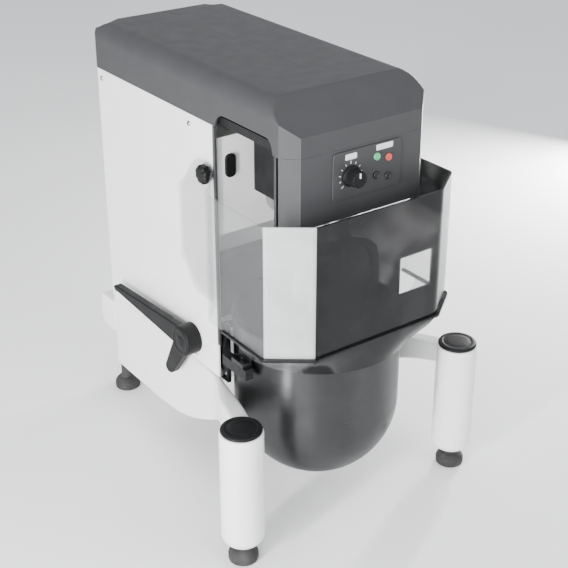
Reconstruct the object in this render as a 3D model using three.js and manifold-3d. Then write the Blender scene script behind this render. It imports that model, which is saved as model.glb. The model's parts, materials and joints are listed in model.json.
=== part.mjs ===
// Bench-top planetary food mixer, about 10 litres, as an assembly of separate parts.
// Millimetres, +Z up. -Y is the front (operator's) side, +X is the operator's right.
// Parts are drawn with Y = 0 on the front leg axes; the whole group is then shifted along Y,
// so that the origin is on the floor under the middle of the machine.
import * as THREE from 'three';
import { mergeVertices } from 'three/addons/utils/BufferGeometryUtils.js';
import Module from 'manifold-3d';

const wasm = await Module();
wasm.setup();

// ---------------------------------------------------------------- driving dimensions
const GAP = 0.3; // air left between parts that touch
const FLOOR_Z = -17; // the floor, in the drawing's own height scale
const LEG = { x: 196, r: 30.5, z0: 13, z1: 196 };
const FOOT = { r: 21.5, neck: 10 };
const REAR_FOOT = { x: 106, y: 494, top: 33 };

const COLUMN = { halfWidth: 120, sheet: 3, front: 172, back: 500, z0: 165.3, z1: 559.7, lipZ: 262 };
const TRIM = { inner: 117.2, outer: 121.5, depth: 5, z0: 222 };
const WALL_Y = 264; // front wall of the column, behind the bowl
const FASCIA = { inset: 6.3, sheet: 2.5, z0: 395, z1: 540 }; // panel between the column's front edges
const BASE = { front: 340, back: 505, wall: 8, z0: 33, z1: 165 };
const LEDGE = { depth: 40, z0: 92, z1: 150 };

const HEAD = { halfWidth: 120, shoulder: 605, top: 630, roofHalf: 96, wall: 3 };
const SLANT = { yLow: 3, zLow: 590, yHigh: 52, zHigh: 630 };
const CAP = { depth: 30, z0: 462, corner: 20 };
const ARCH = { y0: 34, y1: 164, rise: 20 }; // opening cut up into both sides of the cover
const PLATE = { z0: 561, z1: 573, halfWidth: 112 };

const BOWL = { y: 93, r: 122, wall: 1.6, rim: 125, zc: 142, zRim: 282 };
const LIFT = { y: 240, z: 203, crank: 68, startDeg: -31, rollerR: 5, shaftR: 7 };
const LEVER = { x0: -147, x1: -COLUMN.halfWidth - GAP, armOut: -143, armIn: -130, length: 207 };
const RODS = { x: 85, y: 254, r: 6, z0: 168, z1: 430 };

const GEAR = { module: 2.8, ring: 40, planet: 15, z0: 472, z1: 490 };
const ORBIT = (GEAR.ring - GEAR.planet) * GEAR.module / 2; // offset of the tool axis from the bowl axis
const BOSS_R = 38; // boss of the head casting, inside the neck of the gear housing
const DRUM = { r: 74, inner: 65.3, z0: 466, z1: 539.7, neckBack: 150 };
const SHAFT_R = 10;
const BELT = { bigR: 66, smallR: 22, z0: 575, z1: 597, thick: 3.5 };
const MOTOR = { y: 385, r: 55, z0: 400, z1: 550 };

const GUARD = {
  half: 161, front: -43, cornerX: 106, cornerY: -2, wall: 3, z0: 247, zBox: 292, zTop: 484,
  sideEnd: 134, earX: 123, earStart: 165, earEnd: 258, earTop: 503,
};
const HINGE = { y: 181, z: 489, r: 6, spacerR: 9 };
const CONTROL = {
  knobX: -21, knobZ: 521, knobR: 14.5, spindleR: 3.9, buttonR: 5.2,
  buttons: [[22, 538], [42, 533], [22, 512], [42, 507]],
  panel: [-50, 64, 490, 556],
};
const BEARING = { r: 22, depth: 12, lowerZ: 507, upperZ: 558 };
const MOTOR_SHAFT_R = 9;
const TOOL = { r: 15, waistR: 11, gearR: 8, z0: 398, pinR: 3, pinZ: 420 };
const GLAND = { x: -70, z: 215, bore: 4 };
const LUG = { x0: BOWL.r + 0.4, x1: 140, y0: 79, y1: 107, z0: 232.3, z1: 239 };
const YOKE = { armIn: 104.6, armOut: 110.6, z0: 216, z1: 232, plateTop: 319, pinX: 133 };
const CRANK = { x0: 111.6, x1: 116.4, hubR: 14, tipR: 8 };

// ---------------------------------------------------------------- materials
function paint(color, roughness, metalness = 0) {
  return new THREE.MeshStandardMaterial({ color, roughness, metalness });
}
const WHITE = paint(0xe8e8e5, 0.45);
const DARK = paint(0x4b4d50, 0.5);
const BLACK = paint(0x1d1e20, 0.55);
const RUBBER = paint(0x161616, 0.85);
const STEEL = paint(0xc4c7ca, 0.28, 1);
const CAST = paint(0x77797c, 0.5, 0.8);
const IRON = paint(0x55575a, 0.55, 0.6);
const CLEAR = paint(0xb9c0c4, 0.1);
CLEAR.transparent = true;
CLEAR.opacity = 0.35;
const RED = paint(0xa02a24, 0.4);
const GREEN = paint(0x2f7a45, 0.4);
const BOARD = paint(0x1f5a3a, 0.6);

// ---------------------------------------------------------------- solid helpers
function solid(geometry) {
  const g = geometry.clone();
  for (const name of Object.keys(g.attributes)) if (name !== 'position') g.deleteAttribute(name);
  const merged = mergeVertices(g, 1e-4);
  return new wasm.Manifold(new wasm.Mesh({
    numProp: 3,
    vertProperties: new Float32Array(merged.attributes.position.array),
    triVerts: new Uint32Array(merged.index.array),
  }));
}

function geometryOf(manifold) {
  const mesh = manifold.getMesh();
  const g = new THREE.BufferGeometry();
  g.setAttribute('position', new THREE.BufferAttribute(new Float32Array(mesh.vertProperties), 3));
  g.setIndex(new THREE.BufferAttribute(new Uint32Array(mesh.triVerts), 1));
  g.computeVertexNormals();
  return g;
}

const join = (...parts) => parts.reduce((a, b) => a.add(b));
const cut = (body, ...tools) => tools.reduce((a, b) => a.subtract(b), body);

function block(x0, x1, y0, y1, z0, z1) {
  const g = new THREE.BoxGeometry(x1 - x0, y1 - y0, z1 - z0);
  return solid(g.translate((x0 + x1) / 2, (y0 + y1) / 2, (z0 + z1) / 2));
}

// A rod from a to b along one axis: 'x', 'y' or 'z'; c holds the other two coordinates in X, Y, Z order.
function rod(axis, r, a, b, c, segments = 16) {
  const g = new THREE.CylinderGeometry(r, r, b - a, segments);
  const mid = (a + b) / 2;
  if (axis === 'x') g.rotateZ(-Math.PI / 2).translate(mid, c[0], c[1]);
  if (axis === 'y') g.translate(c[0], mid, c[1]);
  if (axis === 'z') g.rotateX(Math.PI / 2).translate(c[0], c[1], mid);
  return solid(g);
}

const shapeOf = (points) => new THREE.Shape(points.map(([a, b]) => new THREE.Vector2(a, b)));

function extrude(shape, depth, xAxis, yAxis, zAxis, origin) {
  const g = new THREE.ExtrudeGeometry(shape, { depth, bevelEnabled: false, curveSegments: 8 });
  const m = new THREE.Matrix4().makeBasis(xAxis, yAxis, zAxis).setPosition(origin);
  return solid(g.applyMatrix4(m));
}
const X = new THREE.Vector3(1, 0, 0);
const Y = new THREE.Vector3(0, 1, 0);
const Z = new THREE.Vector3(0, 0, 1);
const FORWARD = new THREE.Vector3(0, -1, 0);
const prismX = (shape, x0, x1) => extrude(shape, x1 - x0, Y, Z, X, new THREE.Vector3(x0, 0, 0));
const prismY = (shape, y0, y1) => extrude(shape, y1 - y0, X, Z, FORWARD, new THREE.Vector3(0, y1, 0));
const prismZ = (shape, z0, z1) => extrude(shape, z1 - z0, X, Y, Z, new THREE.Vector3(0, 0, z0));

// A turned part about a vertical axis at (x, y): [radius, z] points, closed on themselves or on the axis.
function turned(profile, x = 0, y = 0, segments = 24) {
  const closed = [...profile, profile[0]].map(([r, z]) => new THREE.Vector2(r, z));
  const g = new THREE.LatheGeometry(closed, segments).rotateX(Math.PI / 2).translate(x, y, 0);
  const s = solid(g);
  return s.volume() < 0 ? solid(flipped(g)) : s;
}

function flipped(geometry) {
  const g = mergeVertices(geometry.clone(), 1e-4);
  const index = g.index.array;
  for (let i = 0; i < index.length; i += 3) [index[i], index[i + 1]] = [index[i + 1], index[i]];
  return g;
}

// A closed solid through a stack of outlines with equal point counts, each a list of [x, y, z]. An outline is
// a band: its first half runs along one side and its second half comes back along the other, point for point.
function loft(rings) {
  const n = rings[0].length;
  const index = [];
  const quad = (a, b, c, d) => index.push(a, b, c, a, c, d);
  for (let k = 0; k + 1 < rings.length; k++) {
    for (let i = 0; i < n; i++) {
      const next = (i + 1) % n;
      quad(k * n + i, k * n + next, (k + 1) * n + next, (k + 1) * n + i);
    }
  }
  const last = (rings.length - 1) * n;
  for (let i = 0; i + 1 < n / 2; i++) {
    quad(n - 1 - i, n - 2 - i, i + 1, i);
    quad(last + i, last + i + 1, last + n - 2 - i, last + n - 1 - i);
  }
  const g = new THREE.BufferGeometry();
  g.setAttribute('position', new THREE.BufferAttribute(new Float32Array(rings.flat(2)), 3));
  g.setIndex(index);
  const s = solid(g);
  return s.volume() < 0 ? solid(flipped(g)) : s;
}

const mirrorX = (s) => s.mirror([1, 0, 0]);
const deg = (d) => d * Math.PI / 180;

// ---------------------------------------------------------------- assembly
const group = new THREE.Group();
function add(name, body, material) {
  const mesh = new THREE.Mesh(geometryOf(body), material);
  mesh.name = name;
  group.add(mesh);
}
function addPair(name, makeRight, material) {
  const right = makeRight();
  add(`${name}_right`, right, material);
  add(`${name}_left`, mirrorX(right), material);
}

// ---------------------------------------------------------------- base, legs and feet
const leg = () => turned([
  [0, LEG.z0], [18, LEG.z0], [25, LEG.z0 + 3], [LEG.r, LEG.z0 + 12],
  [LEG.r, LEG.z1 - 2], [LEG.r - 2, LEG.z1], [0, LEG.z1],
], LEG.x, 0, 28);

const legCap = () => turned([
  [0, LEG.z1 + GAP], [28.5, LEG.z1 + GAP], [29, LEG.z1 + 3], [26, LEG.z1 + 5.5], [0, LEG.z1 + 6.5],
], LEG.x, 0, 28);

const foot = (x, y, top) => turned([
  [0, FLOOR_Z], [FOOT.r - 2, FLOOR_Z], [FOOT.r, FLOOR_Z + 2.5], [FOOT.r, FLOOR_Z + 13],
  [FOOT.r - 5, FLOOR_Z + 20], [FOOT.neck, FLOOR_Z + 24], [FOOT.neck, top - GAP], [0, top - GAP],
], x, y, 20);

// Outline of one base arm across Y: inner and outer X, bottom and top Z, at stations from the rear forwards.
const ARM_STATIONS = [
  [360, 112, 120, 33, 165], [310, 113, 120.5, 36, 165], [262, 117.4, 121, 48, 165],
  [215, 117.4, 122.5, 68, 165], [172, 117.4, 128, 92, 165], [130, 130, 150, 120, 174],
  [90, 145, 171, 143, 186], [50, 158, 186, 158, 193], [14, 170, 200, 165, 195],
];
const arm = () => loft(ARM_STATIONS.map(([y, xi, xo, zb, zt]) => [
  [xi, y, zb], [xo - 3, y, zb], [xo, y, zb + 4], [xo, y, zt - 4], [xo - 4, y, zt], [xi, y, zt],
]));

function baseFrame() {
  const w = COLUMN.halfWidth, inW = w - BASE.wall;
  const { front, back, wall } = BASE;
  const plinth = cut(
    prismZ(roundedRect(-w, w, front, back, 10), BASE.z0, BASE.z1),
    block(-inW, inW, front + wall, back - wall, BASE.z0 - 1, BASE.z1 + 1),
  );
  const floor = block(-w + 4, w - 4, front + 2, back - 3, BASE.z0 + 2, BASE.z0 + 10);
  const y0 = back - 5, y1 = back + LEDGE.depth;
  const { z0, z1 } = LEDGE;
  const ledge = cut(
    prismX(shapeOf([
      [y0, z0], [y1 - 6, z0], [y1, z0 + 6], [y1, z1 - 10], [y1 - 10, z1], [y0, z1],
    ]), -w, w),
    block(-inW, inW, y0 - 1, y1 - wall, z0 - 1, z1 - wall),
  );
  const legRoom = join(...[-1, 1].map((s) => rod('z', LEG.r + GAP, 100, LEG.z1 + 10, [s * LEG.x, 0], 28)));
  return cut(join(plinth, floor, ledge, arm(), mirrorX(arm())), legRoom);
}

function roundedRect(x0, x1, y0, y1, r) {
  const s = new THREE.Shape();
  s.moveTo(x0 + r, y0);
  s.lineTo(x1 - r, y0);
  s.absarc(x1 - r, y0 + r, r, -Math.PI / 2, 0);
  s.lineTo(x1, y1 - r);
  s.absarc(x1 - r, y1 - r, r, 0, Math.PI / 2);
  s.lineTo(x0 + r, y1);
  s.absarc(x0 + r, y1 - r, r, Math.PI / 2, Math.PI);
  s.lineTo(x0, y0 + r);
  s.absarc(x0 + r, y0 + r, r, Math.PI, 1.5 * Math.PI);
  return s;
}

add('base_frame', baseFrame(), WHITE);
addPair('front_leg', leg, WHITE);
addPair('leg_cap', legCap, BLACK);
addPair('front_foot', () => foot(LEG.x, 0, LEG.z0), RUBBER);
addPair('rear_foot', () => foot(REAR_FOOT.x, REAR_FOOT.y, REAR_FOOT.top), RUBBER);

// ---------------------------------------------------------------- column
const hingeHole = (a, b) => rod('x', HINGE.r + GAP, a, b, [HINGE.y, HINGE.z]);
const shaftHole = (a, b) => rod('x', LIFT.shaftR + 0.2, a, b, [LIFT.y, LIFT.z]);

function columnSide() {
  const { halfWidth: w, sheet, front, back, z0, z1 } = COLUMN;
  const skin = block(w - sheet, w, front, back, z0, z1);
  const lip = block(w - sheet - 3, w - sheet + 0.5, front, front + sheet, COLUMN.lipZ, z1);
  return cut(join(skin, lip), shaftHole(w - 20, w + 20), hingeHole(w - 20, w + 20));
}

function columnBack() {
  const w = COLUMN.halfWidth - COLUMN.sheet - GAP;
  const sheet = block(-w, w, COLUMN.back - COLUMN.sheet, COLUMN.back, COLUMN.z0, COLUMN.z1);
  const louvres = [0, 1, 2, 3, 4, 5].map((row) => 430 + row * 14)
    .map((z) => block(-60, 60, COLUMN.back - 10, COLUMN.back + 5, z, z + 6));
  return cut(sheet, ...louvres, rod('y', 9, COLUMN.back - 10, COLUMN.back + 5, [GLAND.x, GLAND.z]));
}

const columnWall = () => block(
  -COLUMN.halfWidth + COLUMN.sheet + GAP, COLUMN.halfWidth - COLUMN.sheet - GAP,
  WALL_Y, WALL_Y + COLUMN.sheet, COLUMN.z0, COLUMN.z1,
);

const columnFront = () => block(
  -COLUMN.halfWidth + FASCIA.inset, COLUMN.halfWidth - FASCIA.inset,
  COLUMN.front, COLUMN.front + FASCIA.sheet, FASCIA.z0, FASCIA.z1,
);

const edgeTrim = () => block(
  TRIM.inner, TRIM.outer, COLUMN.front - TRIM.depth, COLUMN.front - GAP, TRIM.z0, COLUMN.z1,
);

addPair('column_side', columnSide, WHITE);
add('column_back', columnBack(), WHITE);
add('column_wall', columnWall(), WHITE);
add('column_front', columnFront(), WHITE);
addPair('edge_trim', edgeTrim, DARK);
add('cable_gland', cut(
  join(
    rod('y', 8.7, COLUMN.back - 8, COLUMN.back + 3, [GLAND.x, GLAND.z]),
    rod('y', 13, COLUMN.back + GAP, COLUMN.back + 10, [GLAND.x, GLAND.z], 6),
    rod('y', 9, COLUMN.back + 9.5, COLUMN.back + 24, [GLAND.x, GLAND.z]),
  ),
  rod('y', GLAND.bore, COLUMN.back - 9, COLUMN.back + 25, [GLAND.x, GLAND.z]),
), BLACK);

// ---------------------------------------------------------------- head
// Cross-section of the cover: upright sides, then a large round shoulder up to the flat roof.
function coverSection(inset) {
  const w = HEAD.halfWidth - inset;
  const roof = HEAD.top - inset;
  const points = [[w, COLUMN.z1 + GAP - (inset ? 5 : 0)]];
  const rise = roof - HEAD.shoulder;
  const run = w - HEAD.roofHalf;
  for (let i = 0; i <= 6; i++) {
    const a = deg(90 * i / 6);
    points.push([HEAD.roofHalf + run * Math.cos(a), HEAD.shoulder + rise * Math.sin(a)]);
  }
  return shapeOf([...points, ...points.map(([x, z]) => [-x, z]).reverse()]);
}

// Plan outline shared by the cover and the front cap: both vertical front corners are chamfered.
function headPlan(inset, back) {
  const w = HEAD.halfWidth - inset;
  const c = CAP.corner - inset * (2 - Math.SQRT2);
  return shapeOf([[-w, back], [-w, inset + c], [-w + c, inset], [w - c, inset], [w, inset + c], [w, back]]);
}

// The solid under the slanted control face, moved inwards by inset.
function underSlant(inset) {
  const slope = Math.atan2(SLANT.zHigh - SLANT.zLow, SLANT.yHigh - SLANT.yLow);
  const dy = inset * Math.sin(slope), dz = -inset * Math.cos(slope);
  const run = SLANT.yHigh - SLANT.yLow, rise = SLANT.zHigh - SLANT.zLow;
  const reach = 8;
  const low = [SLANT.yLow + dy - reach * run, SLANT.zLow + dz - reach * rise];
  const high = [SLANT.yHigh + dy + run, SLANT.zHigh + dz + rise];
  return prismX(shapeOf([low, high, [700, high[1]], [700, low[1]]].reverse()), -200, 200);
}

function topCover() {
  const outer = prismY(coverSection(0), 0, BASE.back)
    .intersect(prismZ(headPlan(0, BASE.back), 500, 700)).intersect(underSlant(0));
  const inner = prismY(coverSection(HEAD.wall), HEAD.wall, BASE.back - HEAD.wall)
    .intersect(prismZ(headPlan(HEAD.wall, BASE.back), 500, 700)).intersect(underSlant(HEAD.wall));
  const { y0, y1, rise } = ARCH;
  const low = COLUMN.z1 - 5, top = COLUMN.z1 + GAP + rise;
  const arch = prismX(shapeOf([
    [y0, low], [y1, low], [y1, top - 16], [y1 - 5, top - 6], [y1 - 18, top], [y0 + 14, top], [y0, top - 8],
  ]), -200, 200);
  return cut(outer, inner, arch);
}

function frontCap() {
  const z1 = COLUMN.z1;
  const outer = prismZ(headPlan(0, CAP.depth), CAP.z0, z1);
  const inner = prismZ(headPlan(4, CAP.depth + 5), CAP.z0 - 1, z1 + 1);
  const knobHole = rod('y', CONTROL.spindleR + 0.4, -5, 10, [CONTROL.knobX, CONTROL.knobZ]);
  const buttonHoles = CONTROL.buttons.map(([x, z]) => rod('y', CONTROL.buttonR + GAP, -5, 10, [x, z], 20));
  return cut(outer, inner, knobHole, ...buttonHoles);
}

// Printed membrane panel glued to the front cap, cut out round the knob and the buttons.
function controlPanel() {
  const [x0, x1, z0, z1] = CONTROL.panel;
  const sheet = prismY(roundedRect(x0, x1, z0, z1, 6), -1.8, -GAP);
  const holes = CONTROL.buttons.map(([x, z]) => rod('y', CONTROL.buttonR + GAP, -5, 5, [x, z], 20));
  return cut(sheet, rod('y', CONTROL.spindleR + 0.4, -5, 5, [CONTROL.knobX, CONTROL.knobZ]), ...holes);
}

// Knob with a flat skirt, a fluted grip and the spindle that passes through the cap.
function speedKnob() {
  const { knobX: x, knobZ: z, knobR: r } = CONTROL;
  const skirt = rod('y', r, -6, -2.2, [x, z], 24);
  const grip = rod('y', r - 2.5, -22, -5.5, [x, z], 12);
  const spindle = rod('y', CONTROL.spindleR, -6, 16, [x, z]);
  const pointer = block(x - 1, x + 1, -23, -12, z + 3, z + r - 3);
  return join(skirt, grip, spindle, pointer);
}

const BUTTON_NAMES = ['start_button', 'stop_button', 'timer_up_button', 'timer_down_button'];
const pushButton = ([x, z]) => join(
  rod('y', CONTROL.buttonR, -4.5, 7, [x, z], 20),
  rod('y', CONTROL.buttonR + 2, 6.5, 8, [x, z], 20),
);

add('top_cover', topCover(), DARK);
add('front_cap', frontCap(), DARK);
add('control_panel', controlPanel(), DARK);
add('speed_knob', speedKnob(), BLACK);
CONTROL.buttons.forEach((at, i) => add(BUTTON_NAMES[i], pushButton(at), [GREEN, RED, STEEL, STEEL][i]));
add('control_board', cut(
  block(-50, 64, 11, 12.6, 486, 556),
  rod('y', 5, 5, 20, [CONTROL.knobX, CONTROL.knobZ]),
), BOARD);

// Casting that ties the column to the planetary drive: a long plate with a flared boss at its front.
function headCasting() {
  const plate = prismZ(roundedRect(-PLATE.halfWidth, PLATE.halfWidth, 38, 470, 12), PLATE.z0, PLATE.z1);
  const flare = turned([
    [36, PLATE.z1 - 1], [110, PLATE.z1 - 1], [108, PLATE.z0 - 2], [98, PLATE.z0 - 9], [84, PLATE.z0 - 15],
    [76, DRUM.z1 + GAP], [36, DRUM.z1 + GAP],
  ], 0, BOWL.y, 32).intersect(block(-200, 200, 38, 300, 500, PLATE.z1));
  const boss = rod('z', BOSS_R, 505, PLATE.z1, [0, BOWL.y], 28);
  return cut(
    join(plate, flare, boss),
    rod('z', BEARING.r + 0.4, 500, 600, [0, BOWL.y], 24),
    rod('z', 16, 540, 600, [0, MOTOR.y]),
    block(-60, 60, 190, 310, 550, 600),
  );
}
add('head_casting', headCasting(), IRON);

// ---------------------------------------------------------------- planetary drive
// Round gear case whose flat-sided neck reaches back towards the column.
function gearHousing() {
  const { r, inner, z0, z1, neckBack } = DRUM;
  const { y } = BOWL;
  const drum = turned([[0, z0], [r - 2, z0], [r, z0 + 3], [r, z1 - 3], [r - 2, z1], [0, z1]], 0, y, 32);
  const neck = prismZ(roundedRect(-r, r, y - 12, neckBack, 12), z0, z1);
  return cut(
    join(drum, neck),
    rod('z', inner, z0 - 1, z1 - 10, [0, y], 32),
    rod('z', BOSS_R + GAP, z0, z1 + 1, [0, y], 28),
  );
}
add('gear_housing', gearHousing(), IRON);

// Trapezoid teeth: four points for each tooth, from root to tip, in a pitch of 360/teeth degrees.
function gearOutline(teeth, rootR, tipR, rootShare, tipShare, phase = 0) {
  const points = [];
  for (let i = 0; i < teeth; i++) {
    const pitch = 360 / teeth;
    for (const [r, share] of [[rootR, -rootShare], [tipR, -tipShare], [tipR, tipShare], [rootR, rootShare]]) {
      const a = deg((i + share + phase) * pitch);
      points.push([r * Math.cos(a), r * Math.sin(a)]);
    }
  }
  return points;
}

function ringGear() {
  const pitchR = GEAR.ring * GEAR.module / 2;
  const outer = new THREE.Shape().absarc(0, 0, DRUM.inner - GAP, 0, 2 * Math.PI);
  const teeth = gearOutline(GEAR.ring, pitchR + 3.6, pitchR - 2.4, 0.36, 0.13, 0.5);
  const tool = prismZ(shapeOf(teeth), GEAR.z0 - 1, GEAR.z1 + 1);
  return cut(prismZ(outer, GEAR.z0, GEAR.z1), tool).translate([0, BOWL.y, 0]);
}

function planetGear() {
  const pitchR = GEAR.planet * GEAR.module / 2;
  const teeth = gearOutline(GEAR.planet, pitchR - 3.4, pitchR + 2.4, 0.33, 0.1, 0);
  const blank = prismZ(shapeOf(teeth), GEAR.z0 + 1, GEAR.z1 - 1);
  return cut(blank, rod('z', TOOL.gearR + GAP, GEAR.z0, GEAR.z1, [0, 0])).translate([ORBIT, BOWL.y, 0]);
}

// Disc that carries the tool shaft round the bowl axis, with a drip skirt and a bored boss for that shaft.
function planetCarrier() {
  const disc = turned([
    [SHAFT_R + GAP, 446], [68, 446], [73, 450], [73, DRUM.z0 - GAP], [SHAFT_R + GAP, DRUM.z0 - GAP],
  ], 0, BOWL.y, 32);
  const boss = rod('z', 20, 434, 450, [ORBIT, BOWL.y], 24);
  const counterweight = turned([[30, 438], [58, 438], [62, 447], [30, 447]], 0, BOWL.y, 24)
    .intersect(block(-90, -22, 0, 190, 430, 460));
  return cut(join(disc, boss, counterweight), rod('z', TOOL.waistR + GAP, 430, 480, [ORBIT, BOWL.y], 24));
}

const mainShaft = () => turned([
  [0, 447], [SHAFT_R, 447], [SHAFT_R, 601], [SHAFT_R - 2, 603], [0, 603],
], 0, BOWL.y, 24);

const bearing = (z) => turned([
  [SHAFT_R + GAP, z], [BEARING.r, z], [BEARING.r, z + BEARING.depth], [SHAFT_R + GAP, z + BEARING.depth],
], 0, BOWL.y, 20);

// Pulley with two flanges; the belt runs on the band between them.
function pulley(r, flange, bore, y, z0, z1) {
  return turned([
    [bore, z0], [r + flange, z0], [r + flange, z0 + 2], [r, z0 + 3], [r, z1 - 3], [r + flange, z1 - 2],
    [r + flange, z1], [bore, z1],
  ], 0, y, 28);
}

// Outline of a belt wrapped on both pulleys, as the two straight runs and two arcs at the given offset.
function beltOutline(offset) {
  const r1 = BELT.bigR + offset, r2 = BELT.smallR + offset;
  const lean = Math.asin((r1 - r2) / (MOTOR.y - BOWL.y));
  const points = [];
  for (let i = 0; i <= 20; i++) {
    const a = Math.PI - lean + (i / 20) * (Math.PI + 2 * lean);
    points.push([r1 * Math.cos(a), BOWL.y + r1 * Math.sin(a)]);
  }
  for (let i = 0; i <= 10; i++) {
    const a = lean + (i / 10) * (Math.PI - 2 * lean);
    points.push([r2 * Math.cos(a), MOTOR.y + r2 * Math.sin(a)]);
  }
  return points;
}

function belt() {
  const shape = shapeOf(beltOutline(GAP + BELT.thick));
  shape.holes.push(new THREE.Path(beltOutline(GAP).map(([x, y]) => new THREE.Vector2(x, y)).reverse()));
  return prismZ(shape, BELT.z0 + 4, BELT.z1 - 4);
}

add('ring_gear', ringGear(), IRON);
add('planet_carrier', planetCarrier(), CAST);
add('main_shaft', mainShaft(), STEEL);
add('lower_bearing', bearing(BEARING.lowerZ), STEEL);
add('upper_bearing', bearing(BEARING.upperZ), STEEL);
add('drive_pulley', pulley(BELT.bigR, 5, SHAFT_R + GAP, BOWL.y, BELT.z0, BELT.z1), CAST);
add('drive_belt', belt(), RUBBER);
add('motor_pulley', pulley(BELT.smallR, 5, MOTOR_SHAFT_R + GAP, MOTOR.y, BELT.z0, BELT.z1), CAST);
add('motor_shaft', rod('z', MOTOR_SHAFT_R, MOTOR.z1 - 20, BELT.z1 + 3, [0, MOTOR.y]), STEEL);

// Motor can with end bells and cooling ribs; its face flange bolts up to the head casting.
function motor() {
  const { r, z0, z1, y } = MOTOR;
  const profile = [[0, z0], [r - 12, z0], [r - 6, z0 + 8]];
  for (let z = z0 + 16; z < z1 - 40; z += 26) {
    profile.push([r - 6, z], [r, z + 3], [r, z + 10], [r - 6, z + 13]);
  }
  profile.push([r - 6, z1 - 16], [r, z1 - 12], [r + 8, z1], [r + 8, PLATE.z0 - GAP]);
  const boreR = MOTOR_SHAFT_R + GAP, boreZ = z1 - 20 - GAP;
  profile.push([boreR, PLATE.z0 - GAP], [boreR, boreZ], [0, boreZ]);
  return turned(profile, 0, y, 24);
}
add('motor', motor(), IRON);

// ---------------------------------------------------------------- tool
function toolShaft() {
  const { r, waistR, gearR, z0, pinR, pinZ: z } = TOOL;
  const body = turned([
    [0, z0], [r - 1.5, z0], [r, z0 + 2], [r, 432.5], [waistR, 432.5], [waistR, 471],
    [gearR, 471], [gearR, 497], [0, 497],
  ], ORBIT, BOWL.y, 20);
  return cut(body, rod('x', pinR + GAP, 0, 100, [BOWL.y, z], 12));
}

// Flat beater: a rounded frame with a centre stem and slanting ribs, under a bayonet sleeve.
const BEATER_EDGE = [
  [0, 114], [14, 117], [26, 123], [40, 135], [56, 151], [68, 171], [75, 194], [76, 230], [76, 330],
  [70, 352], [56, 366], [36, 374], [18, 380],
];
function beater() {
  const mirrored = BEATER_EDGE.slice(1).map(([x, z]) => [-x, z]).reverse();
  const outline = shapeOf([...BEATER_EDGE, [18, 396], [-18, 396], ...mirrored]);
  const stem = 5.5;
  const rightWindow = prismY(shapeOf([
    [stem, 129], [22, 134], [44, 156], [58, 180], [64.5, 204], [64.5, 330], [58, 348], [40, 358], [stem, 362],
  ]), -10, 10);
  const rightRibs = [160, 215, 270].map((z) => prismY(shapeOf([
    [3, z], [70, z + 40], [70, z + 50], [3, z + 10],
  ]), -4.5, 4.5));
  const plate = cut(prismY(outline, -5, 5), rightWindow, mirrorX(rightWindow));
  const bore = TOOL.r + GAP;
  const sleeve = turned([[bore, 388], [bore + 4.7, 388], [bore + 4.7, 431], [bore, 431]], 0, 0, 20);
  const floor = rod('z', bore + 4.7, 384, TOOL.z0 - 1 - GAP, [0, 0], 20);
  const slot = block(-30, 30, -TOOL.pinR - 0.6, TOOL.pinR + 0.6, TOOL.pinZ - 4, 440);
  return cut(join(plate, ...rightRibs, ...rightRibs.map(mirrorX), floor, sleeve), slot)
    .translate([ORBIT, BOWL.y, 0]);
}

add('tool_shaft', toolShaft(), STEEL);
add('planet_gear', planetGear(), IRON);
add('bayonet_pin', rod('x', TOOL.pinR, ORBIT - 23, ORBIT + 23, [BOWL.y, TOOL.pinZ], 12), STEEL);
add('flat_beater', beater(), CAST);

// ---------------------------------------------------------------- bowl
function bowl() {
  const { r, wall, rim, zc, zRim } = BOWL;
  const steps = 8;
  const outer = [], inner = [];
  for (let i = 0; i <= steps; i++) {
    const a = deg(-90 + 90 * i / steps);
    outer.push([r * Math.cos(a), zc + r * Math.sin(a)]);
    inner.push([(r - wall) * Math.cos(a), zc + (r - wall) * Math.sin(a)]);
  }
  outer[0][0] = 0;
  inner[0][0] = 0;
  const lip = [[r, zRim - 6], [rim, zRim - 5], [rim, zRim - 1], [rim - 1.5, zRim], [r - wall, zRim]];
  return turned([...outer, ...lip, ...inner.reverse()], 0, BOWL.y, 36);
}

// Side lug welded to the bowl; it drops over a locating pin on the lifting yoke.
const bowlLug = () => cut(
  join(
    block(LUG.x0 + 1, LUG.x1, LUG.y0, LUG.y1, LUG.z0, LUG.z1),
    block(LUG.x0 + 1, LUG.x0 + 5, LUG.y0, LUG.y1, LUG.z0, LUG.z1 + 16),
  ),
  rod('z', BOWL.r + GAP, 200, 290, [0, BOWL.y], 72),
  rod('z', 4.6, 200, 290, [YOKE.pinX, BOWL.y], 20),
);

add('bowl', bowl(), STEEL);
addPair('bowl_lug', bowlLug, STEEL);

// ---------------------------------------------------------------- bowl lift
// Yoke: a carriage plate on two guide rods, with an arm and a slotted lug on each side of the bowl.
const pinZ = LIFT.z + LIFT.crank * Math.sin(deg(LIFT.startDeg));
function yoke() {
  const wide = COLUMN.halfWidth - COLUMN.sheet - 6;
  const plate = block(-wide, wide, 246, 262, YOKE.z0, YOKE.plateTop);
  const side = () => {
    const { armIn: a, armOut: b, z0, z1 } = YOKE;
    const rear = block(a, b, 163, 250, z0, z1 + 16);
    const lug = block(a, b, 162.5, 192, 157, z0 + 1);
    const flare = prismZ(shapeOf([
      [a, 186], [a, 174], [126.5, 128], [126.5, 72], [140, 72], [140, 130], [b, 165], [b, 186],
    ]), z0, z1);
    const pin = rod('z', 4, z1 - 1, z1 + 6, [YOKE.pinX, BOWL.y], 20);
    const slot = block(a - 1, b + 1, 166.4, 187.5, pinZ - LIFT.rollerR - 1, pinZ + LIFT.rollerR + 1);
    return cut(join(rear, lug, flare, pin), slot);
  };
  const bores = [-1, 1].map((s) => rod('z', RODS.r + GAP, 200, 330, [s * RODS.x, RODS.y]));
  return cut(join(plate, side(), mirrorX(side())), ...bores);
}

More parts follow.
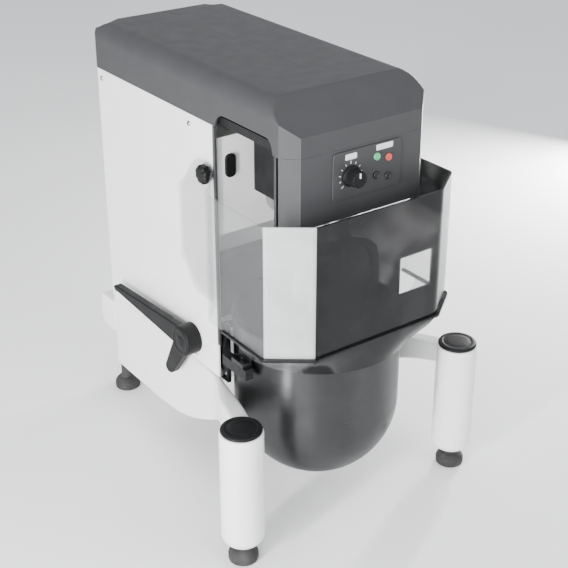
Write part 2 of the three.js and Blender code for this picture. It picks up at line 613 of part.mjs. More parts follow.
const guideRod = () => join(
  rod('z', RODS.r, RODS.z0, RODS.z1, [RODS.x, RODS.y]),
  block(RODS.x - 10, RODS.x + 10, RODS.y - 8, WALL_Y - GAP, RODS.z0, RODS.z0 + 14),
  block(RODS.x - 10, RODS.x + 10, RODS.y - 8, WALL_Y - GAP, RODS.z1 - 14, RODS.z1),
);

// One crank on each end of the lift shaft; its roller runs in the yoke's slot.
function crank() {
  const a = deg(LIFT.startDeg);
  const tip = [LIFT.y - LIFT.crank * Math.cos(a), LIFT.z + LIFT.crank * Math.sin(a)];
  const along = [(LIFT.y - tip[0]) / LIFT.crank, (LIFT.z - tip[1]) / LIFT.crank];
  const across = [-along[1], along[0]];
  const corner = (p, s, r) => [p[0] + across[0] * s * r, p[1] + across[1] * s * r];
  const hub = [LIFT.y, LIFT.z];
  const { x0, x1, hubR, tipR } = CRANK;
  const web = prismX(shapeOf([
    corner(tip, -1, tipR), corner(hub, -1, hubR - 1), corner(hub, 1, hubR - 1), corner(tip, 1, tipR),
  ]), x0, x1);
  const roller = rod('x', LIFT.rollerR, YOKE.armIn, x0 + 0.4, tip, 20);
  return cut(
    join(web, rod('x', hubR, x0, x1, hub), rod('x', tipR, x0, x1, tip), roller),
    rod('x', LIFT.shaftR + 0.2, 100, 120, hub),
  );
}

// Hand lever: a tapered arm that points to the rear, and a short stop lobe, on a round hub.
function liftLever() {
  const hub = [LIFT.y, LIFT.z];
  const tip = [LIFT.y + LEVER.length, LIFT.z + 3];
  const { armOut, armIn } = LEVER;
  const arm = prismX(shapeOf([
    [LIFT.y, 189], [tip[0], tip[1] - 4], [tip[0], tip[1] + 5], [LIFT.y, 225],
  ]), armOut, armIn);
  const lobe = prismX(shapeOf([
    [LIFT.y - 14, 190], [LIFT.y + 34, 132], [LIFT.y + 54, 140], [LIFT.y + 20, 200],
  ]), armOut, armIn);
  return cut(
    join(
      rod('x', 24, LEVER.x0, LEVER.x1, hub, 28),
      arm,
      rod('x', 5.5, armOut, armIn, tip, 16),
      lobe,
      rod('x', 11, armOut, armIn, [LIFT.y + 44, 138], 20),
    ),
    rod('x', LIFT.shaftR + 0.2, -143, -100, hub),
  );
}

add('lift_yoke', yoke(), IRON);
addPair('guide_rod', guideRod, STEEL);
add('lift_shaft', rod('x', LIFT.shaftR, -142.5, 124, [LIFT.y, LIFT.z]), STEEL);
addPair('lift_crank', crank, CAST);
add('lift_lever', liftLever(), BLACK);

// ---------------------------------------------------------------- bowl guard
// Points on the folded plan outline of the guard at bearings from +X round to the front, about the bowl axis.
const BEARINGS = [0, 15, 30.64, 41, 52.07, 64, 77, 90];
function boxPoint(bearing, inset) {
  const d = [Math.cos(deg(bearing)), -Math.sin(deg(bearing))];
  const side = (GUARD.half - inset) / d[0];
  const front = (BOWL.y - GUARD.front - inset) / -d[1];
  const a = [GUARD.half, GUARD.cornerY - BOWL.y], b = [GUARD.cornerX, GUARD.front - BOWL.y];
  const n = [a[1] - b[1], -(a[0] - b[0])].map((v) => v / Math.hypot(a[0] - b[0], a[1] - b[1]));
  const chamfer = (a[0] * n[0] + a[1] * n[1] - inset) / (d[0] * n[0] + d[1] * n[1]);
  const t = Math.min(...[side, front, chamfer].filter((v) => v > 0));
  return [d[0] * t, BOWL.y + d[1] * t];
}

// Half outline of the funnel at a share s from the round lower edge (0) to the folded box (1).
function guardHalf(s, inset) {
  const roundR = BOWL.rim + 6 - inset;
  return BEARINGS.map((bearing) => {
    const box = boxPoint(bearing, inset);
    const round = [roundR * Math.cos(deg(bearing)), BOWL.y - roundR * Math.sin(deg(bearing))];
    return [0, 1].map((i) => round[i] + (box[i] - round[i]) * s);
  });
}

function guardRing(s, z) {
  const withMirror = (half) => [...half, ...half.slice(0, -1).map(([x, y]) => [-x, y]).reverse()];
  const outer = withMirror(guardHalf(s, 0));
  const inner = withMirror(guardHalf(s, GUARD.wall));
  return [...outer, ...inner.reverse()].map(([x, y]) => [x, y, z]);
}

const closedHalf = (half) => shapeOf([...half, ...half.slice(1).map(([x, y]) => [-x, y]).reverse()]);

// Prism between the two side walls of the guard, cut by the outline of everything behind the round bowl.
function guardWall(inset, behind) {
  const half = [...guardHalf(1, inset).slice(1).reverse(), ...behind];
  return prismZ(closedHalf(half), GUARD.zBox - 0.01, GUARD.earTop);
}

function guard() {
  const { half, wall, sideEnd, earX, earStart, earEnd, earTop, z0, zBox, zTop } = GUARD;
  const acrossX = (points) => prismX(shapeOf(points), -300, 300);
  const outer = guardWall(0, [[half, sideEnd], [earX + wall, earStart], [earX + wall, earEnd]]);
  const inner = guardWall(wall, [[half - wall, sideEnd - 1.4], [earX, earStart - 1.4], [earX, earEnd]]);
  const aboveEdge = acrossX([[-100, zTop], [150, zTop], [172, earTop + 1], [172, 600], [-100, 600]]);
  const behindEar = acrossX([[205, earTop + 1], [earEnd + 1, 455], [earEnd + 1, 520], [205, 520]]);
  const underEar = acrossX([[215, zBox - 5], [earEnd + 1, zBox - 5], [earEnd + 1, zBox + 42]]);
  const yokeRoom = acrossX([[60, z0 - 1], [300, z0 - 1], [300, zBox + 0.01], [72, zBox + 0.01]]);
  const stations = [[0, z0], [0.25, z0 + 9], [0.7, z0 + 26], [1, zBox]];
  const funnel = loft(stations.map(([s, z]) => guardRing(s, z)));
  const walls = cut(outer, inner, aboveEdge, behindEar, underEar);
  const lip = cut(
    prismZ(closedHalf(guardHalf(1, -4).reverse()), zBox, zBox + 4),
    prismZ(closedHalf(guardHalf(1, 1).reverse()), zBox - 1, zBox + 5),
  );
  return cut(join(walls, cut(funnel, yokeRoom), lip), hingeHole(-300, 300));
}

// Pin and clamping knob that hold the guard's ear to the side of the column.
const hingeKnob = () => join(
  rod('x', HINGE.r, COLUMN.halfWidth - 12, GUARD.earX + 8, [HINGE.y, HINGE.z]),
  rod('x', 14, GUARD.earX + 3 + GAP, GUARD.earX + 15, [HINGE.y, HINGE.z], 10),
);
const hingeSpacer = () => cut(
  rod('x', HINGE.spacerR, COLUMN.halfWidth + GAP, GUARD.earX - GAP, [HINGE.y, HINGE.z]),
  hingeHole(100, 200),
);

add('bowl_guard', guard(), CLEAR);
addPair('hinge_knob', hingeKnob, BLACK);
addPair('hinge_spacer', hingeSpacer, STEEL);

// ---------------------------------------------------------------- place the whole machine
const FRONT = GUARD.front - 4;
const REAR = BASE.back + LEDGE.depth;
group.position.set(0, -(FRONT + REAR) / 2, -FLOOR_Z);
export default group;
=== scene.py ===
import json
import math

import bmesh
import bpy
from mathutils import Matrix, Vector

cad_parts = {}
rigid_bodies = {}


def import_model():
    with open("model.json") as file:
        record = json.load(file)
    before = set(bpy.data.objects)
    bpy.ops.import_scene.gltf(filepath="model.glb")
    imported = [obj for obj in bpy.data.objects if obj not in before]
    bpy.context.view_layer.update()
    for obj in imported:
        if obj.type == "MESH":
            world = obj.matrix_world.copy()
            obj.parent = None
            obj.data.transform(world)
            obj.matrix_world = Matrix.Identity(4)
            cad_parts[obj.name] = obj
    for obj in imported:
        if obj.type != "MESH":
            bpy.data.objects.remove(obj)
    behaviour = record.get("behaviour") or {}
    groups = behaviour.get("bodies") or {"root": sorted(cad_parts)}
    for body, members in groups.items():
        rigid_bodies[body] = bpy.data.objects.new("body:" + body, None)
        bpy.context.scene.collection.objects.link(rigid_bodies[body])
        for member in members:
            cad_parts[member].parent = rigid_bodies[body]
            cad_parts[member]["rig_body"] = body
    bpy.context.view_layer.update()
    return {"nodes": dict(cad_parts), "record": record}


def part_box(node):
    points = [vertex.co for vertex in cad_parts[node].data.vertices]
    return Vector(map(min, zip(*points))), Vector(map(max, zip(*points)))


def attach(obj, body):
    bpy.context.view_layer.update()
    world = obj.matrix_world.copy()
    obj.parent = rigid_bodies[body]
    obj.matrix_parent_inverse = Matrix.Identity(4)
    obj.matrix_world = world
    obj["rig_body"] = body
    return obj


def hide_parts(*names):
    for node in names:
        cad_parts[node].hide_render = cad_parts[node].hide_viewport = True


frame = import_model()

# Looks of a bench-top planetary mixer around its CAD frame. Shapes are worked out in millimetres
# and become meshes in metres; -Y is the operator's side and +Z is up.
MM = 0.001
SCENE = bpy.context.scene
BODY_OF = {node: obj["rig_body"] for node, obj in frame["nodes"].items()}
SLOT_OF = {part["node"]: part["material_slot"] for part in frame["record"]["subparts"]}


# ---------------------------------------------------------------- camera
def add_camera():
    yaw, pitch = math.radians(35.826), math.radians(25.388)
    forward = Vector((math.sin(yaw) * math.cos(pitch), math.cos(yaw) * math.cos(pitch), -math.sin(pitch)))
    data = bpy.data.cameras.new("camera")
    data.sensor_width = 36
    data.lens = 75.12
    data.shift_y = -0.0704
    camera = bpy.data.objects.new("camera", data)
    camera.location = (-0.9219, -1.3517, 1.1142)
    camera.rotation_euler = forward.to_track_quat("-Z", "Y").to_euler()
    SCENE.collection.objects.link(camera)
    SCENE.camera = camera


add_camera()


# ---------------------------------------------------------------- shader building
def new_material(name, color, roughness, metallic=0.0):
    material = bpy.data.materials.new(name)
    material.use_nodes = True
    shader = material.node_tree.nodes["Principled BSDF"]
    shader.inputs["Base Color"].default_value = (*color, 1)
    shader.inputs["Roughness"].default_value = roughness
    shader.inputs["Metallic"].default_value = metallic
    return material, material.node_tree, shader


def add_node(tree, kind, **inputs):
    node = tree.nodes.new(kind)
    for key, value in inputs.items():
        node.inputs[key].default_value = value
    return node


def object_place(tree, stretch=(1, 1, 1)):
    """Object coordinates in metres, stretched along each axis."""
    place = add_node(tree, "ShaderNodeMapping", Scale=stretch)
    tree.links.new(tree.nodes.new("ShaderNodeTexCoord").outputs["Object"], place.inputs["Vector"])
    return place.outputs["Vector"]


def noise(tree, place, scale, detail=3.0):
    node = add_node(tree, "ShaderNodeTexNoise", Scale=scale, Detail=detail)
    tree.links.new(place, node.inputs["Vector"])
    return node.outputs["Fac"]


def spread(tree, value, low, high, start=0.3, stop=0.7):
    """value between start and stop becomes a number from low to high."""
    node = tree.nodes.new("ShaderNodeMapRange")
    for key, number in (("From Min", start), ("From Max", stop), ("To Min", low), ("To Max", high)):
        node.inputs[key].default_value = number
    tree.links.new(value, node.inputs["Value"])
    return node.outputs["Result"]


def arithmetic(tree, operation, first, second):
    node = tree.nodes.new("ShaderNodeMath")
    node.operation = operation
    for socket, value in zip(node.inputs, (first, second)):
        if isinstance(value, (int, float)):
            socket.default_value = value
        else:
            tree.links.new(value, socket)
    return node.outputs["Value"]


def blend_colors(tree, factor, first, second):
    """Mix of two colours, each a tuple or a colour socket."""
    node = tree.nodes.new("ShaderNodeMix")
    node.data_type = "RGBA"
    tree.links.new(factor, node.inputs["Factor"])
    for socket, color in ((node.inputs[6], first), (node.inputs[7], second)):
        if isinstance(color, tuple):
            socket.default_value = (*color, 1)
        else:
            tree.links.new(color, socket)
    return node.outputs[2]


def edge_mask(tree, radius):
    """1 on sharp outer edges and 0 on flat faces."""
    rounded = add_node(tree, "ShaderNodeBevel", Radius=radius)
    dot = tree.nodes.new("ShaderNodeVectorMath")
    dot.operation = "DOT_PRODUCT"
    tree.links.new(rounded.outputs["Normal"], dot.inputs[0])
    tree.links.new(tree.nodes.new("ShaderNodeNewGeometry").outputs["Normal"], dot.inputs[1])
    return spread(tree, dot.outputs["Value"], 1.0, 0.0, 0.88, 0.995)


def edge_wear(tree, place, radius, scale, low, high):
    """Worn share of the outer edges, broken up by noise."""
    patches = spread(tree, noise(tree, place, scale), low, high)
    return arithmetic(tree, "MULTIPLY", edge_mask(tree, radius), patches)


def relief(tree, shader, height, strength, distance):
    bump = add_node(tree, "ShaderNodeBump", Strength=strength, Distance=distance)
    tree.links.new(height, bump.inputs["Height"])
    tree.links.new(bump.outputs["Normal"], shader.inputs["Normal"])


def scaled(color, factor):
    return tuple(min(1.0, c * factor) for c in color)


# ---------------------------------------------------------------- materials
def enamel():
    """Satin white powder coat: orange peel, faint handling marks and worn, greyer edges."""
    color = (0.80, 0.80, 0.79)
    material, tree, shader = new_material("white_enamel", color, 0.36)
    place = object_place(tree)
    marks = spread(tree, noise(tree, place, 9, 5), 0.0, 1.0, 0.42, 0.75)
    tinted = blend_colors(tree, marks, color, scaled(color, 0.93))
    wear = edge_wear(tree, place, 0.0012, 60, 0.0, 0.5)
    tree.links.new(blend_colors(tree, wear, tinted, (0.56, 0.56, 0.55)), shader.inputs["Base Color"])
    tree.links.new(spread(tree, noise(tree, place, 14, 4), 0.30, 0.44), shader.inputs["Roughness"])
    relief(tree, shader, noise(tree, place, 750, 2), 0.16, 0.0002)
    shader.inputs["Coat Weight"].default_value = 0.25
    return material


def grained_plastic(name, color, roughness, grain, edge, specular):
    """Moulded plastic with a fine leather grain, mottled gloss and polished edges."""
    material, tree, shader = new_material(name, color, roughness)
    place = object_place(tree)
    mottle = spread(tree, noise(tree, place, 24, 4), 0.0, 1.0)
    body = blend_colors(tree, mottle, scaled(color, 0.96), scaled(color, 1.05))
    wear = edge_wear(tree, place, 0.0014, 90, 0.15, 0.75)
    tree.links.new(blend_colors(tree, wear, body, scaled(color, edge)), shader.inputs["Base Color"])
    tree.links.new(spread(tree, noise(tree, place, 40, 5), roughness - 0.03, roughness + 0.04),
                   shader.inputs["Roughness"])
    cells = add_node(tree, "ShaderNodeTexVoronoi", Scale=grain)
    tree.links.new(place, cells.inputs["Vector"])
    height = arithmetic(tree, "ADD", cells.outputs["Distance"], noise(tree, place, grain * 1.7, 2))
    relief(tree, shader, height, 0.22, 0.00025)
    shader.inputs["Specular IOR Level"].default_value = specular
    return material


def rubber():
    color = (0.018, 0.018, 0.018)
    material, tree, shader = new_material("rubber", color, 0.78)
    place = object_place(tree)
    dust = spread(tree, noise(tree, place, 55, 6), 0.0, 0.6, 0.45, 0.75)
    tree.links.new(blend_colors(tree, dust, color, (0.06, 0.058, 0.055)), shader.inputs["Base Color"])
    relief(tree, shader, noise(tree, place, 1400, 3), 0.35, 0.0002)
    return material


def spun_steel(name, color, centre, roughness, anisotropy):
    """Stainless steel turned on a lathe: fine rings round the vertical axis through centre."""
    material, tree, shader = new_material(name, color, roughness, 1.0)
    place = object_place(tree)
    offset = tree.nodes.new("ShaderNodeVectorMath")
    offset.operation = "SUBTRACT"
    offset.inputs[1].default_value = (centre[0] * MM, centre[1] * MM, 0)
    tree.links.new(place, offset.inputs[0])
    parts = tree.nodes.new("ShaderNodeSeparateXYZ")
    tree.links.new(offset.outputs["Vector"], parts.inputs["Vector"])
    across = arithmetic(tree, "ADD", arithmetic(tree, "MULTIPLY", parts.outputs["X"], parts.outputs["X"]),
                        arithmetic(tree, "MULTIPLY", parts.outputs["Y"], parts.outputs["Y"]))
    rings = tree.nodes.new("ShaderNodeCombineXYZ")
    tree.links.new(arithmetic(tree, "SQRT", across, 0.0), rings.inputs["X"])
    tree.links.new(parts.outputs["Z"], rings.inputs["Y"])
    tree.links.new(arithmetic(tree, "MULTIPLY", parts.outputs["X"], 0.01), rings.inputs["Z"])
    lines = noise(tree, rings.outputs["Vector"], 1500, 4)
    smears = noise(tree, place, 18, 5)
    stained = blend_colors(tree, spread(tree, smears, 0.0, 1.0), scaled(color, 0.86), scaled(color, 1.1))
    tree.links.new(stained, shader.inputs["Base Color"])
    rough = arithmetic(tree, "ADD", spread(tree, lines, -0.05, 0.05), spread(tree, smears, -0.04, 0.06))
    tree.links.new(arithmetic(tree, "ADD", rough, roughness), shader.inputs["Roughness"])
    relief(tree, shader, lines, 0.10, 0.0001)
    shader.inputs["Anisotropic"].default_value = anisotropy
    shader.inputs["Anisotropic Rotation"].default_value = 0.25
    tangent = tree.nodes.new("ShaderNodeTangent")
    tangent.direction_type = "RADIAL"
    tangent.axis = "Z"
    tree.links.new(tangent.outputs["Tangent"], shader.inputs["Tangent"])
    return material


def ground_metal(name, color, roughness, stretch):
    """Ground or brushed metal with fine lines along one axis."""
    material, tree, shader = new_material(name, color, roughness, 1.0)
    lines = noise(tree, object_place(tree, stretch), 900, 4)
    stains = noise(tree, object_place(tree), 30, 4)
    tree.links.new(blend_colors(tree, spread(tree, stains, 0.0, 1.0), scaled(color, 0.8), scaled(color, 1.1)),
                   shader.inputs["Base Color"])
    tree.links.new(spread(tree, lines, roughness - 0.06, roughness + 0.1), shader.inputs["Roughness"])
    relief(tree, shader, lines, 0.14, 0.0001)
    return material


def cast_metal(name, color, roughness, metallic, grain, specular=0.5):
    """Sand-cast metal: pitted skin, darker and lighter patches and rubbed edges."""
    material, tree, shader = new_material(name, color, roughness, metallic)
    place = object_place(tree)
    patches = spread(tree, noise(tree, place, 35, 6), 0.0, 1.0)
    body = blend_colors(tree, patches, scaled(color, 0.78), scaled(color, 1.15))
    wear = edge_wear(tree, place, 0.0015, 80, 0.1, 0.8)
    tree.links.new(blend_colors(tree, wear, body, scaled(color, 1.9)), shader.inputs["Base Color"])
    tree.links.new(spread(tree, noise(tree, place, 60, 5), roughness - 0.08, roughness + 0.1),
                   shader.inputs["Roughness"])
    relief(tree, shader, noise(tree, place, grain, 6), 0.4, 0.0005)
    shader.inputs["Specular IOR Level"].default_value = specular
    return material


def polycarbonate(name, color, alpha, roughness, coat=0.5, specular=0.5):
    """Thin clear sheet: see-through, glossy, with hairline scratches and a little haze."""
    material, tree, shader = new_material(name, color, roughness)
    place = object_place(tree)
    scratches = noise(tree, object_place(tree, (1, 1, 0.04)), 700, 2)
    haze = noise(tree, place, 16, 5)
    tree.links.new(spread(tree, haze, roughness, roughness + 0.12), shader.inputs["Roughness"])
    rubbed = arithmetic(tree, "ADD", spread(tree, haze, alpha * 0.85, alpha * 1.15),
                        spread(tree, scratches, 0.0, 0.05, 0.6, 0.75))
    tree.links.new(rubbed, shader.inputs["Alpha"])
    relief(tree, shader, scratches, 0.05, 0.0001)
    shader.inputs["Coat Weight"].default_value = coat
    shader.inputs["Specular IOR Level"].default_value = specular
    return material


def button_plastic(name, color):
    """Glossy keycap with a faint moulded texture and worn, lighter patches."""
    material, tree, shader = new_material(name, color, 0.3)
    place = object_place(tree)
    rubbed = spread(tree, noise(tree, place, 160, 4), 0.0, 1.0)
    tinted = blend_colors(tree, rubbed, scaled(color, 0.9), scaled(color, 1.15))
    tree.links.new(tinted, shader.inputs["Base Color"])
    tree.links.new(spread(tree, noise(tree, place, 300, 3), 0.22, 0.4), shader.inputs["Roughness"])
    relief(tree, shader, noise(tree, place, 1500, 2), 0.1, 0.0001)
    return material


def legend_ink():
    """Screen-printed light grey ink on the control panel, slightly broken up."""
    color = (0.72, 0.72, 0.70)
    material, tree, shader = new_material("legend_ink", color, 0.5)
    place = object_place(tree)
    worn = spread(tree, noise(tree, place, 500, 4), 0.0, 0.35, 0.5, 0.8)
    tree.links.new(blend_colors(tree, worn, color, scaled(color, 0.55)), shader.inputs["Base Color"])
    relief(tree, shader, noise(tree, place, 2500, 2), 0.1, 0.00005)
    return material


def circuit_board():
    color = (0.03, 0.16, 0.08)
    material, tree, shader = new_material("circuit_board", color, 0.45)
    tracks = noise(tree, object_place(tree, (1, 1, 8)), 90, 2)
    tree.links.new(blend_colors(tree, spread(tree, tracks, 0.0, 1.0, 0.48, 0.52), color, (0.05, 0.26, 0.13)),
                   shader.inputs["Base Color"])
    relief(tree, shader, tracks, 0.3, 0.0002)
    return material


def floor_paper():
    color = (0.90, 0.90, 0.90)
    material, tree, shader = new_material("floor_paper", color, 0.9)
    place = object_place(tree)
    soft = spread(tree, noise(tree, place, 1.5, 3), 0.0, 1.0)
    tree.links.new(blend_colors(tree, soft, color, scaled(color, 0.98)), shader.inputs["Base Color"])
    relief(tree, shader, noise(tree, place, 400, 2), 0.05, 0.0002)
    return material


# ---------------------------------------------------------------- frame measures, in millimetres
def extent(node):
    """Lowest corner, highest corner and middle of a CAD node at rest."""
    low, high = (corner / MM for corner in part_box(node))
    return low, high, (low + high) / 2


BOWL_LOW, BOWL_HIGH, BOWL_MID = extent("bowl")
BOWL_CENTRE = (BOWL_MID.x, BOWL_MID.y)

MATERIALS = {
    "white_paint": enamel(),
    "dark_moulding": grained_plastic("dark_moulding", (0.038, 0.039, 0.041), 0.50, 1500, 1.5, 0.35),
    "black_plastic": grained_plastic("black_plastic", (0.007, 0.007, 0.0074), 0.5, 1200, 1.8, 0.15),
    "rubber": rubber(),
    # The stainless base colour is far darker than real steel: a painted dark reflection of a dim room, not
    # the metal's own tone.
    "stainless": spun_steel("stainless", (0.064, 0.065, 0.067), BOWL_CENTRE, 0.32, 0.9),
    "ground_steel": ground_metal("ground_steel", (0.5, 0.51, 0.53), 0.25, (1, 1, 0.05)),
    "cast_aluminium": cast_metal("cast_aluminium", (0.42, 0.43, 0.44), 0.45, 0.9, 700),
    "grey_iron": cast_metal("grey_iron", (0.010, 0.0102, 0.011), 0.5, 0.0, 420, 0.2),
    "clear_guard": polycarbonate("clear_polycarbonate", (0.22, 0.225, 0.23), 0.17, 0.04),
    "green_button": button_plastic("green_button", (0.10, 0.42, 0.20)),
    "red_button": button_plastic("red_button", (0.55, 0.07, 0.05)),
    "circuit_board": circuit_board(),
}
# Dark, nearly opaque sheet: a painted dark reflection standing in for what the clear guard reflects, not a
# smoked tint.
PAINTED_DARK_REFLECTION = polycarbonate("painted_dark_reflection_polycarbonate", (0.009, 0.0092, 0.0098), 0.90, 0.10, 0.0, 0.22)
# Milky pale sheet: a painted pale reflection on the guard's left chamfer, not an etched finish.
PAINTED_PALE_REFLECTION = polycarbonate("painted_pale_reflection_polycarbonate", (0.80, 0.81, 0.82), 0.38, 0.30)
INK = legend_ink()


# ---------------------------------------------------------------- mesh building
def join_shapes(*shapes):
    vertices, faces = [], []
    for more_vertices, more_faces in shapes:
        start = len(vertices)
        vertices += more_vertices
        faces += [[start + i for i in face] for face in more_faces]
    return vertices, faces


def point_on(axis, height, across, up):
    """Point at a height along axis, with its other two coordinates in X, Y, Z order."""
    return {"x": (height, across, up), "y": (across, height, up), "z": (across, up, height)}[axis]


def strip(rows, around=False):
    """Quads between rows of points; around closes each row on itself."""
    n = len(rows[0])
    vertices = [point for row in rows for point in row]
    faces = []
    for k in range(len(rows) - 1):
        for i in range(n if around else n - 1):
            j = (i + 1) % n
            faces.append([k * n + i, k * n + j, (k + 1) * n + j, (k + 1) * n + i])
    return vertices, faces


def lathe(profile, centre, axis="z", segments=72, flutes=0, depth=0.0, fluted=(0, 0)):
    """Turned shape: (radius, height) points about an axis. Heights within fluted get shallow grooves."""
    rows = []
    for radius, height in profile:
        row = []
        for i in range(segments):
            angle = 2 * math.pi * i / segments
            inside = flutes and fluted[0] <= height <= fluted[1]
            dip = depth * (0.5 + 0.5 * math.cos(flutes * angle)) ** 2 if inside else 0.0
            r = max(radius - dip, 0.0)
            across, up = centre[0] + r * math.cos(angle), centre[1] + r * math.sin(angle)
            row.append(point_on(axis, height, across, up))
        rows.append(row)
    return strip(rows, around=True)


def prism(outline, start, stop, axis="x"):
    n = len(outline)
    vertices = [point_on(axis, height, *point) for height in (start, stop) for point in outline]
    faces = [[i, (i + 1) % n, n + (i + 1) % n, n + i] for i in range(n)]
    return vertices, faces + [list(range(n)), list(range(n, 2 * n))]


def rounded(points, radius, closed=True, steps=5):
    """The same outline with each corner replaced by a smooth curve that starts radius before it."""
    points = [Vector(p) for p in points]
    n = len(points)
    result = []
    for i, corner in enumerate(points):
        if not closed and i in (0, n - 1):
            result.append(tuple(corner))
            continue
        before, after = points[i - 1] - corner, points[(i + 1) % n] - corner
        start = corner + before.normalized() * min(radius, before.length * 0.45)
        stop = corner + after.normalized() * min(radius, after.length * 0.45)
        for k in range(steps + 1):
            t = k / steps
            result.append(tuple(start * (1 - t) ** 2 + corner * (2 * t * (1 - t)) + stop * t ** 2))
    return result


def rectangle(x0, x1, y0, y1):
    return [(x0, y0), (x1, y0), (x1, y1), (x0, y1)]


def smooth_min(a, b, width):
    h = max(0.0, min(1.0, 0.5 + 0.5 * (b - a) / width))
    return b * (1 - h) + a * h - width * h * (1 - h)


def spline(values, t):
    """Catmull-Rom value at t, which counts stations from the first."""
    i = min(int(t), len(values) - 2)
    u = t - i
    a, b, c, d = (Vector(values[max(0, min(len(values) - 1, i + k))]) for k in (-1, 0, 1, 2))
    square, cube = a * 2 - b * 5 + c * 4 - d, b * 3 - a - c * 3 + d
    return (b * 2 + (c - a) * u + square * u ** 2 + cube * u ** 3) / 2


def face_outwards(work):
    """Turns an open or closed mesh so that, on the whole, its faces point away from its middle."""
    bmesh.ops.recalc_face_normals(work, faces=work.faces)
    middle = sum((v.co for v in work.verts), Vector()) / len(work.verts)
    if sum(f.calc_area() * f.normal.dot(f.calc_center_median() - middle) for f in work.faces) < 0:
        bmesh.ops.reverse_faces(work, faces=work.faces)


def add_modifier(obj, kind, **settings):
    modifier = obj.modifiers.new(kind.lower(), kind)
    for key, value in settings.items():
        setattr(modifier, key, value)


def dress(name, work, slot, body, replaced=(), bevel=0.0, sharp=35, thickness=0.0, material=None):
    """Makes a bmesh in metres into a piece that rides on a body, with smooth shading and softened edges."""
    bmesh.ops.remove_doubles(work, verts=work.verts, dist=0.01 * MM)
    bmesh.ops.dissolve_degenerate(work, dist=0.005 * MM, edges=work.edges)
    face_outwards(work)
    mesh = bpy.data.meshes.new(name)
    work.to_mesh(mesh)
    work.free()
    mesh.shade_smooth()
    mesh.set_sharp_from_angle(angle=math.radians(sharp))
    mesh.materials.append(material or MATERIALS[slot])
    obj = bpy.data.objects.new(name, mesh)
    SCENE.collection.objects.link(obj)
    if thickness:
        add_modifier(obj, "SOLIDIFY", thickness=thickness * MM, offset=-1, use_even_offset=True)
    if bevel:
        add_modifier(obj, "BEVEL", width=bevel * MM, segments=3, limit_method="ANGLE",
                     angle_limit=math.radians(sharp), use_clamp_overlap=True)
    add_modifier(obj, "WEIGHTED_NORMAL", keep_sharp=True)
    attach(obj, body)
    if replaced:
        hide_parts(*replaced)
    return obj


def new_piece(name, shape, slot, body, replaced=(), **look):
    vertices, faces = shape
    mesh = bpy.data.meshes.new(name + "_draft")
    mesh.from_pydata([Vector(v) * MM for v in vertices], [], faces)
    work = bmesh.new()
    work.from_mesh(mesh)
    bpy.data.meshes.remove(mesh)
    return dress(name, work, slot, body, replaced, **look)


def stand_in(node, shape, **look):
    """A finer piece that replaces one CAD node and keeps its body and finish."""
    return new_piece(node + "_fine", shape, SLOT_OF[node], BODY_OF[node], (node,), **look)


def refine(node, bevel, sharp=35):
    """The CAD node's own shape with flat faces made whole and its edges softened."""
    work = bmesh.new()
    work.from_mesh(frame["nodes"][node].data)
    bmesh.ops.remove_doubles(work, verts=work.verts, dist=0.01 * MM)
    bmesh.ops.dissolve_limit(work, angle_limit=math.radians(1), verts=work.verts, edges=work.edges)
    return dress(node + "_fine", work, SLOT_OF[node], BODY_OF[node], (node,), bevel=bevel, sharp=sharp)


def screws(name, places, axis, outwards, radius, body, slot="ground_steel"):
    """Button-head socket screws: outwards is +1 or -1 along the axis; a place is its seat's centre."""
    shapes = []
    for x, y, z in places:
        height = {"x": x, "y": y, "z": z}[axis]
        centre = {"x": (y, z), "y": (x, z), "z": (x, y)}[axis]
        dome = [(0, 0.25), (0.45, 0.25), (0.5, 0.55), (0.75, 0.5), (0.93, 0.32), (1, 0.1), (1, -0.2),
                (0, -0.2)]
        profile = [(radius * r, height + outwards * radius * h) for r, h in dome]
        shapes.append(lathe(profile, centre, axis, segments=24))
    return new_piece(name, join_shapes(*shapes), slot, body)


# ---------------------------------------------------------------- legs and feet
def legs():
    for side in ("right", "left"):
        low, high, mid = extent(f"front_leg_{side}")
        r = high.x - mid.x
        body = rounded([(0, low.z), (r - 12, low.z), (r - 5, low.z + 4), (r, low.z + 12), (r, high.z - 1.5),
                        (r - 2, high.z), (0, high.z)], 3, closed=False)
        stand_in(f"front_leg_{side}", lathe(body, (mid.x, mid.y), segments=96), sharp=50)
        low, high, mid = extent(f"leg_cap_{side}")
        r = high.x - mid.x
        top = rounded([(0, low.z), (r - 0.5, low.z), (r, low.z + 2.6), (r - 1.6, high.z - 1.6),
                       (r - 6, high.z - 0.9), (r - 8, high.z - 1.6), (r * 0.5, high.z - 0.6), (0, high.z)],
                      1.2, closed=False)
        stand_in(f"leg_cap_{side}", lathe(top, (mid.x, mid.y), segments=96), sharp=60)
        for where in ("front", "rear"):
            foot(f"{where}_foot_{side}")


def foot(node):
    low, high, mid = extent(node)
    r = high.x - mid.x
    neck = 10
    profile = rounded([(0, low.z), (r - 3, low.z), (r - 0.6, low.z + 1.2), (r, low.z + 3.5), (r, low.z + 11),
                       (r - 1.5, low.z + 14), (r - 6, low.z + 19), (neck + 1, low.z + 21), (neck, low.z + 24),
                       (neck, high.z), (0, high.z)], 1.6, closed=False)
    tread = lathe(profile, (mid.x, mid.y), segments=72, flutes=24, depth=0.7, fluted=(low.z + 2, low.z + 13))
    stand_in(node, tread, sharp=55)


# ---------------------------------------------------------------- base
# One arm of the base at stations from the rear forwards: Y from the front legs' axes, inner X, outer X,
# bottom and top above the lowest point of the base.
ARM_STATIONS = [
    (360, 112, 120, 0, 132), (310, 113, 120.5, 3, 132), (262, 117.4, 121, 15, 132),
    (215, 117.4, 122.5, 35, 132), (172, 117.4, 128, 59, 132), (130, 130, 150, 87, 141),
    (90, 145, 171, 110, 153), (50, 158, 186, 125, 160), (14, 170, 200, 132, 162),
]
PLINTH_FRONT, PLINTH_RISE, PLINTH_WALL = 340, 132, 8
PLINTH_PAST_COLUMN = 5
LEDGE_LOW, LEDGE_HIGH = 59, 117
ARM_STEPS = 8


